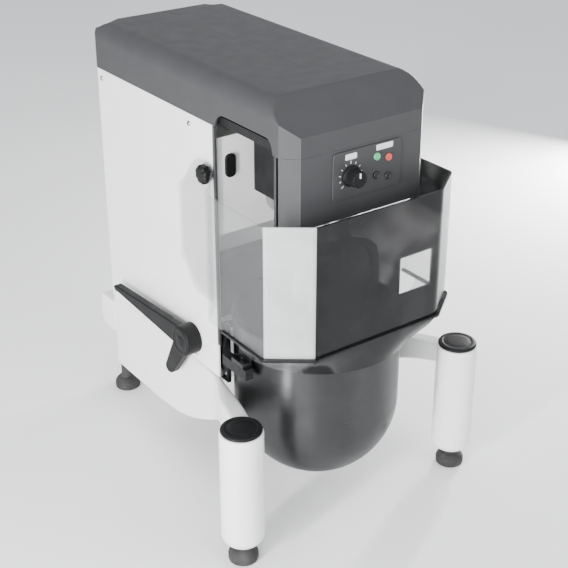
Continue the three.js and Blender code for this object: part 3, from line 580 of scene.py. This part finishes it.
def base_frame():
    low, high, _ = extent("base_frame")
    legs_y = extent("front_leg_right")[2].y
    plinth_top = low.z + PLINTH_RISE
    back = extent("column_back")[1].y + PLINTH_PAST_COLUMN
    front = legs_y + PLINTH_FRONT

    def arm(side):
        rows = []
        for k in range((len(ARM_STATIONS) - 1) * ARM_STEPS + 1):
            y, x0, x1, z0, z1 = spline(ARM_STATIONS, k / ARM_STEPS)
            section = rounded(rectangle(x0, x1, z0, z1), min(6, (x1 - x0) * 0.44), steps=4)
            rows.append([(side * x, legs_y + y, low.z + z) for x, z in section])
        vertices, faces = strip(rows, around=True)
        n = len(rows[0])
        ends = [list(range(n)), list(range(len(vertices) - n, len(vertices)))]
        return vertices, faces + ends

    width = extent("column_side_right")[1].x
    wall = PLINTH_WALL
    outer = rounded(rectangle(-width, width, front, back), 12)
    inner = rounded(rectangle(wall - width, width - wall, front + wall, back - wall), 5)
    rows = [[(x, y, z) for x, y in outline] for outline, z in (
        (inner, low.z + 2), (outer, low.z), (outer, plinth_top), (inner, plinth_top), (inner, low.z + 2))]
    plinth = strip(rows, around=True)
    floor = prism(rectangle(4 - width, width - 4, front + 2, back - 3), low.z + 2, low.z + 10, "z")
    profile = rounded(rectangle(back - 6, high.y, low.z + LEDGE_LOW, low.z + LEDGE_HIGH), 9)
    ledge = prism(profile, -width, width, "x")
    stand_in("base_frame", join_shapes(arm(1), arm(-1), plinth, floor, ledge), bevel=1.2, sharp=40)


# ---------------------------------------------------------------- column
def column():
    for side in ("right", "left"):
        refine(f"column_side_{side}", 1.0)
        refine(f"edge_trim_{side}", 0.8)
        sign = 1 if side == "right" else -1
        low, high, _ = extent(f"column_side_{side}")
        face = high.x if sign > 0 else low.x
        spots = [(face, y, z) for y in (low.y + 60, high.y - 14) for z in (low.z + 14, high.z - 14)]
        screws(f"column_screws_{side}", spots, "x", sign, 4.2, "frame")
    refine("column_back", 0.8)
    refine("column_wall", 0.6)
    refine("column_front", 0.6)
    refine("cable_gland", 0.7)
    low, high, _ = extent("column_back")
    heights = (low.z + 12, (low.z + high.z) / 2, high.z - 12)
    spots = [(x, high.y, z) for x in (low.x + 10, high.x - 10) for z in heights]
    screws("back_panel_screws", spots, "y", 1, 3.6, "frame")


SENSOR_WIDTH, SENSOR_HEIGHT = 16, 34


def interlock_sensor():
    """Oval sensor on the front of the column, which the guard's magnet meets when it is shut."""
    low, high, _ = extent("column_front")
    x, z = low.x + 20, high.z - 43
    w, h = SENSOR_WIDTH / 2, SENSOR_HEIGHT / 2
    outline = rounded(rectangle(x - w, x + w, z - h, z + h), 9, steps=8)
    new_piece("guard_sensor", prism(outline, low.y - 4, low.y + 1, "y"), "black_plastic", "frame", bevel=1.0)


# ---------------------------------------------------------------- head
ARCH_FRONT, ARCH_REAR, ARCH_RISE = 33, 166, 20
SHOULDER_RISE, SHOULDER_RUN = 25, 24
CORNER, REAR_CORNER = 20, 5
CORNER_SHRINK = 0.586  # what a chamfer loses for each unit that its outline moves inwards
SLANT_START, SLANT_RUN, SLANT_DROP = 3, 49, 40
# Insets of the rings past the shoulder, and distances from the front at which a side gets a point: closer
# together where the slanted face ends and round the arched opening.
INSETS_PAST_SHOULDER = [27, 31, 37, 43, 47, 50, 52, 54, 57, 61, 70, 85, 102, 119.9]
SIDE_SAMPLES = [
    21, 25, 29, 32.9, 33.2, 35, 37, 40, 43, 46, 49, 52, 55, 59, 64, 75, 95, 120, 140, 146, 151, 156, 160, 163,
    165, 165.8, 166.1, 180, 240, 300, 360, 420, 470, 490,
]


def head_outline(inset, half, front, back):
    """Plan outline at an inset: both front corners chamfered, both rear corners nearly square."""
    def arc(x, y, radius, start):
        steps = 12
        return [(x + radius * math.cos(start + math.pi / 2 * k / steps),
                 y + radius * math.sin(start + math.pi / 2 * k / steps)) for k in range(steps + 1)]

    def chamfer(start, stop):
        return [tuple(Vector(start).lerp(Vector(stop), k / 8)) for k in range(9)]

    r = max(CORNER - inset * CORNER_SHRINK, 0.02)
    rear = max(REAR_CORNER - inset, 0.02)
    w = half - inset
    y0, y1 = front + inset, back - inset
    ys = [min(max(front + sample, y0 + r), y1 - rear) for sample in SIDE_SAMPLES]
    across = [w - r - (w - r) * 2 * k / 10 for k in range(1, 10)]
    left_corner = chamfer((-w, y0 + r), (r - w, y0))
    right_corner = chamfer((w - r, y0), (w, y0 + r))
    rear_right = arc(w - rear, y1 - rear, rear, 0)
    rear_left = arc(rear - w, y1 - rear, rear, math.pi / 2)
    return (left_corner + [(-x, y0) for x in across] + right_corner + [(w, y) for y in ys] + rear_right
            + [(x, y1) for x in across] + rear_left + [(-w, y) for y in reversed(ys)])


def top_cover():
    low, high, _ = extent("top_cover")
    half, front, back, roof = high.x, low.y, high.y, high.z

    def arch(y):
        """Rise of the lower edge over the opening between the front cap and the column."""
        if not ARCH_FRONT < y < ARCH_REAR:
            return 0
        ahead, behind = (y - ARCH_FRONT) / 14, (ARCH_REAR - y) / 22
        return ARCH_RISE * math.sqrt(max(0, 1 - max(0, 1 - min(ahead, behind)) ** 2))

    def height(x, y):
        over = max(0.0, min(1.0, (abs(x) - half + SHOULDER_RUN) / SHOULDER_RUN))
        shoulder = roof - SHOULDER_RISE + SHOULDER_RISE * math.sqrt(1 - over * over)
        slant = roof - SLANT_DROP + (y - front - SLANT_START) * SLANT_DROP / SLANT_RUN
        past = max(0.0, min(1.0, (y - back + 6) / 6))
        rear = roof - 6 + 6 * math.sqrt(1 - past * past)
        return smooth_min(smooth_min(shoulder, slant, 2.5), rear, 1)

    steps = 12
    insets = [SHOULDER_RUN * (1 - math.cos(math.pi / 2 * k / steps)) for k in range(steps + 1)]
    rows = []
    for inset in insets + INSETS_PAST_SHOULDER:
        rows.append([(x, y, height(x, y)) for x, y in head_outline(inset, half, front, back)])
    edge = rows[0]
    skirt = [[(x, y, z + (low.z + arch(y - front) - z) * t) for x, y, z in edge]
             for t in (1, 0.96, 0.5, 0.04)]
    stand_in("top_cover", strip(skirt + rows, around=True), thickness=3, bevel=0.8, sharp=30)
    spots = [(x, back, low.z + 16) for x in (-95, 95)]
    screws("cover_screws", spots, "y", 1, 4.0, "frame")


def front_cap():
    low, high, _ = extent("front_cap")
    half, front = high.x, low.y
    outline = head_outline(0, half, front, high.y + 300)
    front_only = [p for p in outline if p[1] < high.y - 1]
    left = [(-half, high.y), (-half, high.y - 3)]
    right = [(half, high.y - 3), (half, high.y)]
    path = left + front_only + right
    heights = (low.z, low.z + 1, low.z + 30, high.z - 30, high.z - 1, high.z)
    rows = [[(x, y, z) for x, y in path] for z in heights]
    stand_in("front_cap", strip(rows), thickness=4, bevel=1.0, sharp=30)


KNOB_R, KNOB_DEPTH, SPINDLE_R = 14.5, 20.8, 3.9


def controls():
    low, high, _ = extent("control_panel")
    back = high.y + 0.25
    plate = prism(rounded(rectangle(low.x, high.x, low.z, high.z), 7), low.y, back, "y")
    stand_in("control_panel", plate, bevel=0.5)
    knob = extent("speed_knob")
    speed_dial(knob[2].x, knob[0].z + KNOB_R, low.y)
    speed_knob()
    for node in ("start_button", "stop_button", "timer_up_button", "timer_down_button"):
        keycap(node)
    timer_window(low)


def speed_dial(x, z, face):
    """Printed scale round the knob: ticks and a legend block over them."""
    shapes = []
    for k in range(11):
        angle = math.radians(225 - 27 * k)
        along = Vector((math.cos(angle), math.sin(angle)))
        across = Vector((-along.y, along.x)) * 0.45
        start, stop = along * 16.4, along * (19.4 if k % 5 else 20.6)
        corners = [start - across, start + across, stop + across, stop - across]
        shapes.append(prism([(x + p.x, z + p.y) for p in corners], face - 0.15, face + 0.1, "y"))
    block = rounded(rectangle(x - 9.5, x + 9.5, z + 22.5, z + 30.5), 2)
    shapes.append(prism(block, face - 0.15, face + 0.1, "y"))
    new_piece("speed_dial_scale", join_shapes(*shapes), "black_plastic", "frame", material=INK)


def speed_knob():
    low, high, mid = extent("speed_knob")
    z = low.z + KNOB_R
    r = KNOB_R
    back = low.y + KNOB_DEPTH
    front = low.y + 1
    profile = rounded([(0, back), (r, back), (r, back - 3), (r - 2.2, back - 4.4), (r - 3, front + 1.5),
                       (r - 4.2, front), (r - 6, front + 0.6), (0, front + 0.9)], 1, closed=False)
    grip = lathe(profile, (mid.x, z), "y", segments=96, flutes=16, depth=0.9, fluted=(front + 1, back - 4.6))
    shaft = [(0, back - 1), (SPINDLE_R, back - 1), (SPINDLE_R, high.y), (0, high.y)]
    spindle = lathe(shaft, (mid.x, z), "y", segments=32)
    stand_in("speed_knob", join_shapes(grip, spindle), bevel=0.3, sharp=50)
    mark = rounded(rectangle(mid.x - 0.8, mid.x + 0.8, z + 2.5, z + 9.5), 0.6)
    line = prism(mark, low.y + 0.4, front + 2, "y")
    new_piece("speed_knob_pointer", line, "black_plastic", "knob", material=INK)


def keycap(node):
    low, high, mid = extent(node)
    r = high.x - mid.x - 2
    cap = rounded([(0, low.y + 0.5), (r * 0.55, low.y + 0.25), (r - 0.9, low.y), (r, low.y + 0.9),
                   (r, high.y - 1.5), (r + 2, high.y - 1.5), (r + 2, high.y), (0, high.y)], 0.5, closed=False)
    stand_in(node, lathe(cap, (mid.x, mid.z), "y", segments=48), sharp=45)


def timer_window(corner):
    """Small blank display over the four buttons, a thin raised plate."""
    outline = rounded(rectangle(corner.x + 71, corner.x + 99, corner.z + 56, corner.z + 64), 1.6)
    new_piece("timer_window", prism(outline, corner.y - 0.5, corner.y + 0.2, "y"), "black_plastic", "frame",
              material=INK, bevel=0.2)


# ---------------------------------------------------------------- drive and tool
def drive():
    _, high, mid = extent("gear_housing")
    r = high.x - mid.x
    spots = [(BOWL_MID.x + (r - 0.4) * math.cos(a), BOWL_MID.y - (r - 0.4) * math.sin(a), high.z - 12)
             for a in (math.pi * (k + 0.5) / 5 for k in range(5))]
    studs = [lathe([(0, z - 3), (3.4, z - 3), (3.4, z + 3), (0, z + 3)], (x, y), segments=6)
             for x, y, z in spots]
    new_piece("housing_bolts", join_shapes(*studs), "ground_steel", "frame", bevel=0.4)
    for node, bevel in (("gear_housing", 1.5), ("planet_carrier", 1.2), ("head_casting", 1.5),
                        ("tool_shaft", 0.6), ("bayonet_pin", 0.6), ("flat_beater", 2.0), ("lift_yoke", 1.5)):
        refine(node, bevel)
    for kind, bevel in (("lift_crank", 0.8), ("bowl_lug", 0.8), ("hinge_spacer", 0.5), ("guide_rod", 0.5)):
        for side in ("right", "left"):
            refine(f"{kind}_{side}", bevel)
    refine("lift_shaft", 0.6)


# ---------------------------------------------------------------- bowl
def bowl():
    rim_r = BOWL_HIGH.x - BOWL_MID.x
    r = rim_r - 3
    wall = 1.6
    centre_z = BOWL_LOW.z + r
    steps = 28
    arc = [(math.cos(a), math.sin(a)) for a in (-math.pi / 2 * (1 - k / steps) for k in range(steps + 1))]
    outer = [(r * c, centre_z + r * s) for c, s in arc]
    top = BOWL_HIGH.z
    roll = [(r + 1.5 + 1.5 * math.sin(a), top - 2.6 - 2.6 * math.cos(a))
            for a in (math.pi * k / 10 for k in range(11))]
    inner = [((r - wall) * c, centre_z + (r - wall) * s) for c, s in reversed(arc)]
    steps_up = [(r, centre_z + 45), (r, centre_z + 90), (r, top - 6.5)]
    steps_down = [(r - wall, top - 1.5), (r - wall, centre_z + 90), (r - wall, centre_z + 45)]
    profile = outer + steps_up + roll + steps_down + inner
    stand_in("bowl", lathe(profile, BOWL_CENTRE, segments=144), sharp=60)


# ---------------------------------------------------------------- lift lever
def lift_lever():
    low, high, _ = extent("lift_lever")
    shaft = extent("lift_shaft")[2]
    y, z = shaft.y, shaft.z
    hub_r = 24
    hub = rounded([(0, high.x), (hub_r, high.x), (hub_r, low.x + 3), (hub_r - 4, low.x + 0.4),
                   (hub_r - 8, low.x + 1.6), (9, low.x + 1.6), (7, low.x), (0, low.x)], 2, closed=False)
    inner, outer = low.x + 17, low.x + 4
    tip = high.y
    arm = rounded([(y, z - 14), (tip - 5, z - 1), (tip, z + 3.5), (tip - 5, z + 8), (y, z + 22)], 6)
    lobe = rounded([(y - 12, z - 12), (y + 33, low.z + 3), (y + 44, low.z), (y + 54, low.z + 8),
                    (y + 20, z)], 9)
    boss = lathe(hub, (y, z), "x", segments=80)
    shape = join_shapes(boss, prism(arm, outer, inner), prism(lobe, outer, inner))
    stand_in("lift_lever", shape, bevel=2.2, sharp=40)


# ---------------------------------------------------------------- guard
LIP, GUARD_WALL = 4, 3
GUARD_CORNER = (106, 41)  # X where the front ends, and how far behind the front the sides begin
EAR_INSET, EAR_RISE = 35, 19
FOLD_RISE = 45  # height of the funnel, up to the fold
GUARD_ROWS = 14
PATCH = ((36, 92), (54, 116))  # clear rectangle in the dark front: X, and Z above the fold
# Height above the fold from which the right side carries the painted dark reflection.
PAINTED_DARK_REFLECTION_SIDE_FROM = 123  # above the fold, on the right side


def guard_outline(half, front, rear):
    """Plan outline of the folded sheet from the left ear round the front to the right ear."""
    legs_y = extent("front_leg_right")[2].y
    chamfer_x, chamfer = GUARD_CORNER
    side = [(EAR_INSET - half, rear), (EAR_INSET - half, legs_y + 168), (-half, legs_y + 134),
            (-half, front + chamfer), (-chamfer_x, front)]
    folded = rounded(side + [(-x, y) for x, y in reversed(side)], 7, closed=False, steps=6)
    path = [folded[0]]
    for point in folded[1:]:
        start = Vector(path[-1])
        gap = Vector(point) - start
        count = max(1, round(gap.length / 7))
        path += [tuple(start + gap * k / count) for k in range(1, count + 1)]
    return path


def guard():
    low, high, _ = extent("bowl_guard")
    legs_y = extent("front_leg_right")[2].y
    half, front, rear = high.x - LIP, low.y + LIP, high.y
    fold = low.z + FOLD_RISE
    top = high.z - EAR_RISE

    def ramp(y, y0, y1, z0, z1):
        t = max(0.0, min(1.0, (y - y0) / (y1 - y0)))
        return z0 + (z1 - z0) * t * t * (3 - 2 * t)

    def upper(y):
        rise = ramp(y - legs_y, 148, 174, top, high.z)
        return rise - ramp(y - legs_y, 203, 262, 0, 52)

    def lower(y):
        return ramp(y - legs_y, 213, 262, fold, fold + 42)

    path = guard_outline(half, front, rear)
    rows = []
    for k in range(GUARD_ROWS + 1):
        t = k / GUARD_ROWS
        rows.append([(x, y, lower(y) + (upper(y) - lower(y)) * t) for x, y in path])
    shapes = [strip(rows), funnel(half, front, low.z, fold)]
    obj = stand_in("bowl_guard", join_shapes(*shapes), thickness=GUARD_WALL, bevel=0.5, sharp=60)
    # Second and third slots: the painted dark reflection on the front and upper right side, and the painted
    # pale reflection on the left chamfer.
    for material in (PAINTED_DARK_REFLECTION, PAINTED_PALE_REFLECTION):
        obj.data.materials.append(material)
    for face in obj.data.polygons:
        face.material_index = guard_zone(face.center / MM - Vector((0, 0, fold)), front)
    flange(half, front, fold)


def guard_zone(place, front):
    """0 clear, 1 painted dark reflection, 2 painted pale reflection, by place on the sheet; Z is counted from
    the fold.
    """
    chamfer_x, chamfer = GUARD_CORNER
    (patch_x0, patch_x1), (patch_z0, patch_z1) = PATCH
    if patch_x0 < place.x < patch_x1 and patch_z0 < place.z < patch_z1:
        return 0
    ahead = place.y < front + chamfer
    if ahead and place.x > -chamfer_x:
        return 1
    if place.x > 0 and place.z > PAINTED_DARK_REFLECTION_SIDE_FROM:
        return 1
    return 2 if ahead and place.z > 0 else 0


def box_point(bearing, half, front):
    """Where a ray from the bowl's axis meets the folded outline; bearings run from +X round by the front."""
    chamfer_x, chamfer = GUARD_CORNER
    dx, dy = math.cos(bearing), -math.sin(bearing)
    to_front = front - BOWL_MID.y
    normal = Vector((chamfer, chamfer_x - half)).normalized()
    reach = Vector((chamfer_x, to_front)).dot(normal)
    choices = [half / abs(dx) if abs(dx) > 1e-6 else 1e9, to_front / dy if dy < -1e-6 else 1e9]
    across = abs(dx) * normal.x + dy * normal.y
    choices.append(reach / across if across > 1e-6 else 1e9)
    t = min(choices)
    return dx * t, BOWL_MID.y + dy * t


def funnel(half, front, z0, z1):
    """Sheet from the round lower edge, just outside the bowl's rim, up and out to the folded walls."""
    round_r = BOWL_HIGH.x - BOWL_MID.x + 6
    bearings = [math.radians(12 + 156 * k / 104) for k in range(105)]
    rows = []
    for k in range(9):
        t = k / 8
        s = 1 - (1 - t) ** 1.35
        row = []
        for bearing in bearings:
            bx, by = box_point(bearing, half, front)
            rx = BOWL_MID.x + round_r * math.cos(bearing)
            ry = BOWL_MID.y - round_r * math.sin(bearing)
            row.append((rx + (bx - rx) * s, ry + (by - ry) * s, z0 + (z1 - z0) * t))
        rows.append(row)
    return strip(rows)


def flange(half, front, z):
    """Stiffening lip round the guard where the funnel meets its walls."""
    bearings = [math.radians(180 * k / 120) for k in range(121)]
    rows = []
    for grow, height in ((-1, z), (LIP, z), (LIP, z + 4), (-1, z + 4), (-1, z)):
        scale_x = (half + grow) / half
        row = []
        for bearing in bearings:
            x, y = box_point(bearing, half, front)
            depth = BOWL_MID.y - front
            row.append((x * scale_x, BOWL_MID.y + (y - BOWL_MID.y) * (depth + grow) / depth, height))
        rows.append(row)
    vertices, faces = strip(rows)
    n = len(bearings)
    caps = [[k * n for k in range(4)], [k * n + n - 1 for k in range(4)]]
    # The lip uses the same dark sheet: its dark tone is painted shade and reflection, not a tint.
    new_piece("guard_flange", (vertices, faces + caps), "clear_guard", "guard", material=PAINTED_DARK_REFLECTION, bevel=0.5)


def hinge_knobs():
    for side in ("right", "left"):
        node = f"hinge_knob_{side}"
        low, high, mid = extent(node)
        sign = 1 if side == "right" else -1
        tip = high.x if sign > 0 else low.x
        seat = tip - sign * 11.7
        inner = low.x if sign > 0 else high.x
        r = high.z - mid.z
        profile = rounded([(0, seat), (r - 1, seat), (r, seat + sign), (r, tip - sign * 3),
                           (r - 3, tip - sign * 0.4), (r * 0.5, tip), (0, tip)], 1.5, closed=False)
        grips = (min(seat, tip) - 1, max(seat, tip) + 1)
        head = lathe(profile, (mid.y, mid.z), "x", segments=96, flutes=8, depth=1.8, fluted=grips)
        pin = lathe([(0, inner), (5.2, inner), (6, inner + sign * 0.8), (6, seat + sign), (0, seat + sign)],
                    (mid.y, mid.z), "x", segments=40)
        stand_in(node, join_shapes(head, pin), bevel=0.4, sharp=50)


# ---------------------------------------------------------------- carried-over nodes
def carry_over():
    """CAD nodes whose own shape stays, mostly inside the casings, get their node materials."""
    for node, obj in frame["nodes"].items():
        obj.data.materials.clear()
        obj.data.materials.append(MATERIALS[SLOT_OF[node]])


# ---------------------------------------------------------------- stage
def area_light(name, place, target, size, watts):
    data = bpy.data.lights.new(name, "AREA")
    data.shape = "RECTANGLE"
    data.size, data.size_y = size
    data.energy = watts
    light = bpy.data.objects.new(name, data)
    light.location = place
    light.rotation_euler = (Vector(target) - Vector(place)).to_track_quat("-Z", "Y").to_euler()
    SCENE.collection.objects.link(light)


def stage():
    half = 12
    mesh = bpy.data.meshes.new("floor")
    corners = [(x, y, 0) for x, y in rectangle(-half, half, -half, half)]
    mesh.from_pydata(corners, [], [(0, 1, 2, 3)])
    mesh.materials.append(floor_paper())
    floor = bpy.data.objects.new("floor", mesh)
    SCENE.collection.objects.link(floor)
    world = bpy.data.worlds.new("studio")
    world.use_nodes = True
    world.node_tree.nodes["Background"].inputs["Color"].default_value = (0.75, 0.77, 0.8, 1)
    world.node_tree.nodes["Background"].inputs["Strength"].default_value = 1.2
    SCENE.world = world
    area_light("key", (-2.3, -1.9, 1.2), (0, 0, 0.35), (1.2, 1.2), 60)
    area_light("top", (0.3, -0.6, 3.2), (0, 0, 0), (3.0, 3.0), 40)
    area_light("left_strip", (-1.53, -0.63, 0.45), (0, -0.15, 0.3), (0.12, 0.9), 50)
    area_light("right_strip", (1.49, 0.43, 0.45), (0, -0.15, 0.3), (0.10, 0.9), 45)
    area_light("fill", (1.0, -2.8, 1.0), (0, 0, 0.35), (1.2, 1.2), 22)


carry_over()
legs()
base_frame()
column()
interlock_sensor()
top_cover()
front_cap()
controls()
drive()
bowl()
lift_lever()
guard()
hinge_knobs()
stage()
